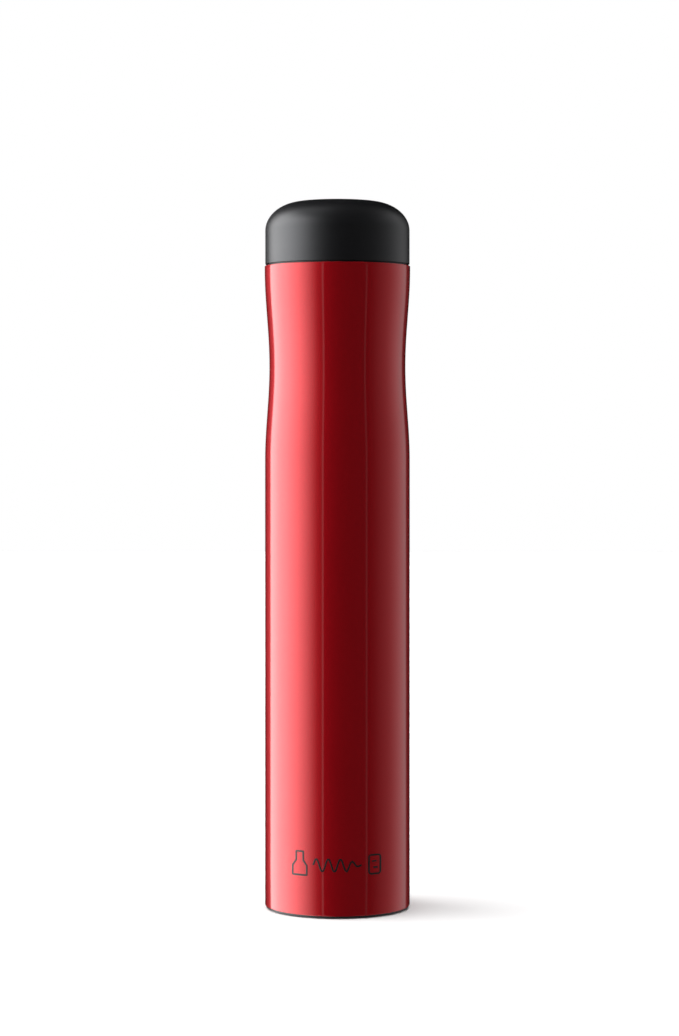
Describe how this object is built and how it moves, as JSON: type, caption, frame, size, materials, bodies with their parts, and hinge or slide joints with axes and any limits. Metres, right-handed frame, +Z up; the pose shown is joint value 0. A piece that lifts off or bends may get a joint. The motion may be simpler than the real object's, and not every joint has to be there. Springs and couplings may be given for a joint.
{
  "type": "electric wine opener",
  "caption": "Slim upright electric wine opener: glossy red waisted sleeve, black screw-on battery cap, and a bore below for the bottle neck with a motor-driven worm.",
  "frame": {"origin": "centre of the foot pad's lower face, on the surface that the opener stands on", "axes": "+Z up along the body's axis, front -Y (the printed side), +X to the right seen from the front"},
  "size_m": [0.0506, 0.0504, 0.2451],
  "materials": {
    "sleeve_paint": "candy red metallic lacquer, high gloss",
    "cap_soft_touch": "black soft-touch coating",
    "trim_black": "fine-grained black moulding",
    "soft_rubber": "soft black elastomer",
    "bore_plastic": "smooth dark grey moulding",
    "chassis_plastic": "fine-grained dark grey moulding",
    "screw_steel": "zinc-plated steel",
    "worm_coated": "non-stick coated steel, dark grey",
    "hub_plastic": "glass-filled moulding",
    "drive_steel": "ground steel",
    "sintered_steel": "sintered steel",
    "bush_bronze": "oiled sintered bronze",
    "pinion_brass": "machined brass",
    "gear_acetal": "off-white acetal",
    "gear_housing_nylon": "glass-filled nylon",
    "motor_steel": "nickel-plated drawn steel",
    "motor_nylon": "natural nylon",
    "magnet_ferrite": "sintered ferrite",
    "armature_metal": "laminated steel and enamelled copper wire",
    "contact_nickel": "nickel-plated spring steel",
    "cell_jacket": "printed foil jacket on a steel can",
    "lever_acetal": "natural acetal",
    "switch_black": "black phenolic case",
    "plunger_red": "red moulding",
    "board_green": "green solder mask on glass-epoxy",
    "component_black": "moulded packages and a sleeved capacitor",
    "lead_insulation": "soft vinyl insulation"
  },
  "bodies": {
    "housing": {"outer_sleeve": "sleeve_paint", "top_collar": "trim_black", "collar_screws": "screw_steel", "base_ring": "trim_black", "foot_pad": "soft_rubber", "base_screws": "screw_steel", "neck_liner": "bore_plastic", "lip_cushion": "soft_rubber", "cork_tube": "bore_plastic", "chassis_front": "chassis_plastic", "chassis_rear": "chassis_plastic", "chassis_screws": "screw_steel", "output_bearing": "bush_bronze", "thrust_washer": "drive_steel", "gear_housing": "gear_housing_nylon", "motor_plate": "motor_steel", "gearbox_screws": "screw_steel", "motor_screws": "screw_steel", "motor_can": "motor_steel", "motor_end_cap": "motor_nylon", "motor_terminals": "contact_nickel", "motor_magnets": "magnet_ferrite", "motor_bushes": "bush_bronze", "battery_tray": "chassis_plastic", "battery_cells": "cell_jacket", "floor_contacts": "contact_nickel", "floor_springs": "contact_nickel", "lever_pin": "drive_steel", "switch_body": "switch_black", "control_board": "board_green", "board_parts": "component_black", "motor_leads": "lead_insulation", "battery_leads": "lead_insulation", "switch_leads": "lead_insulation"},
    "worm_drive": {"worm": "worm_coated", "worm_hub": "hub_plastic", "hub_pin": "drive_steel", "output_shaft": "drive_steel", "output_carrier": "sintered_steel", "output_pins": "drive_steel"},
    "first_stage": {"input_carrier": "sintered_steel", "input_pins": "drive_steel"},
    "motor_rotor": {"motor_armature": "armature_metal", "motor_pinion": "pinion_brass"},
    "contact_carrier": {"contact_disc": "trim_black", "disc_contacts": "contact_nickel", "disc_springs": "contact_nickel"},
    "cap": {"battery_cap": "cap_soft_touch", "cap_seal": "soft_rubber", "disc_screw": "screw_steel"},
    "lever": {"trigger_lever": "lever_acetal"},
    "plunger": {"switch_plunger": "plunger_red"},
    "output_planet_a": {"output_planet_a": "gear_acetal"},
    "output_planet_b": {"output_planet_b": "gear_acetal"},
    "output_planet_c": {"output_planet_c": "gear_acetal"},
    "input_planet_a": {"input_planet_a": "gear_acetal"},
    "input_planet_b": {"input_planet_b": "gear_acetal"},
    "input_planet_c": {"input_planet_c": "gear_acetal"}
  },
  "joints": [
    {"name": "worm_spin", "type": "hinge", "parent": "housing", "child": "worm_drive", "pos_m": [0, 0, 0.1171], "axis": [0, 0, -1], "continuous": true},
    {"name": "first_stage_spin", "type": "hinge", "parent": "housing", "child": "first_stage", "pos_m": [0, 0, 0.1401], "axis": [0, 0, -1], "continuous": true},
    {"name": "motor_spin", "type": "hinge", "parent": "housing", "child": "motor_rotor", "pos_m": [0, 0, 0.165], "axis": [0, 0, -1], "continuous": true},
    {"name": "output_planet_a_spin", "type": "hinge", "parent": "worm_drive", "child": "output_planet_a", "pos_m": [0.009, 0, 0.1354], "axis": [0, 0, -1], "continuous": true},
    {"name": "output_planet_b_spin", "type": "hinge", "parent": "worm_drive", "child": "output_planet_b", "pos_m": [-0.0045, 0.00779, 0.1354], "axis": [0, 0, -1], "continuous": true},
    {"name": "output_planet_c_spin", "type": "hinge", "parent": "worm_drive", "child": "output_planet_c", "pos_m": [-0.0045, -0.00779, 0.1354], "axis": [0, 0, -1], "continuous": true},
    {"name": "input_planet_a_spin", "type": "hinge", "parent": "first_stage", "child": "input_planet_a", "pos_m": [0.009, 0, 0.1444], "axis": [0, 0, -1], "continuous": true},
    {"name": "input_planet_b_spin", "type": "hinge", "parent": "first_stage", "child": "input_planet_b", "pos_m": [-0.0045, 0.00779, 0.1444], "axis": [0, 0, -1], "continuous": true},
    {"name": "input_planet_c_spin", "type": "hinge", "parent": "first_stage", "child": "input_planet_c", "pos_m": [-0.0045, -0.00779, 0.1444], "axis": [0, 0, -1], "continuous": true},
    {"name": "cap_rise", "type": "slide", "parent": "housing", "child": "contact_carrier", "axis": [0, 0, 1], "range_m": [0, 0.02]},
    {"name": "cap_unscrew", "type": "hinge", "parent": "contact_carrier", "child": "cap", "pos_m": [0, 0, 0.235], "axis": [0, 0, 1], "range_deg": [0, 720]},
    {"name": "lever_swing", "type": "hinge", "parent": "housing", "child": "lever", "pos_m": [0, 0.0162, 0.068], "axis": [1, 0, 0], "range_deg": [0, 4.6], "stiffness_Nm_per_rad": 0.02, "springref_deg": -11.46},
    {"name": "plunger_press", "type": "slide", "parent": "housing", "child": "plunger", "axis": [0, 0, 1], "range_m": [0, 0.0003]}
  ],
  "couplings": [
    {"joint": "first_stage_spin", "follows": "worm_spin", "ratio": 6},
    {"joint": "motor_spin", "follows": "worm_spin", "ratio": 36},
    {"joint": "output_planet_a_spin", "follows": "worm_spin", "ratio": -2.5},
    {"joint": "output_planet_b_spin", "follows": "worm_spin", "ratio": -2.5},
    {"joint": "output_planet_c_spin", "follows": "worm_spin", "ratio": -2.5},
    {"joint": "input_planet_a_spin", "follows": "worm_spin", "ratio": -15},
    {"joint": "input_planet_b_spin", "follows": "worm_spin", "ratio": -15},
    {"joint": "input_planet_c_spin", "follows": "worm_spin", "ratio": -15},
    {"joint": "cap_rise", "follows": "cap_unscrew", "m_per_rad": 0.0015915},
    {"joint": "plunger_press", "follows": "lever_swing", "m_per_rad": 0.003}
  ]
}
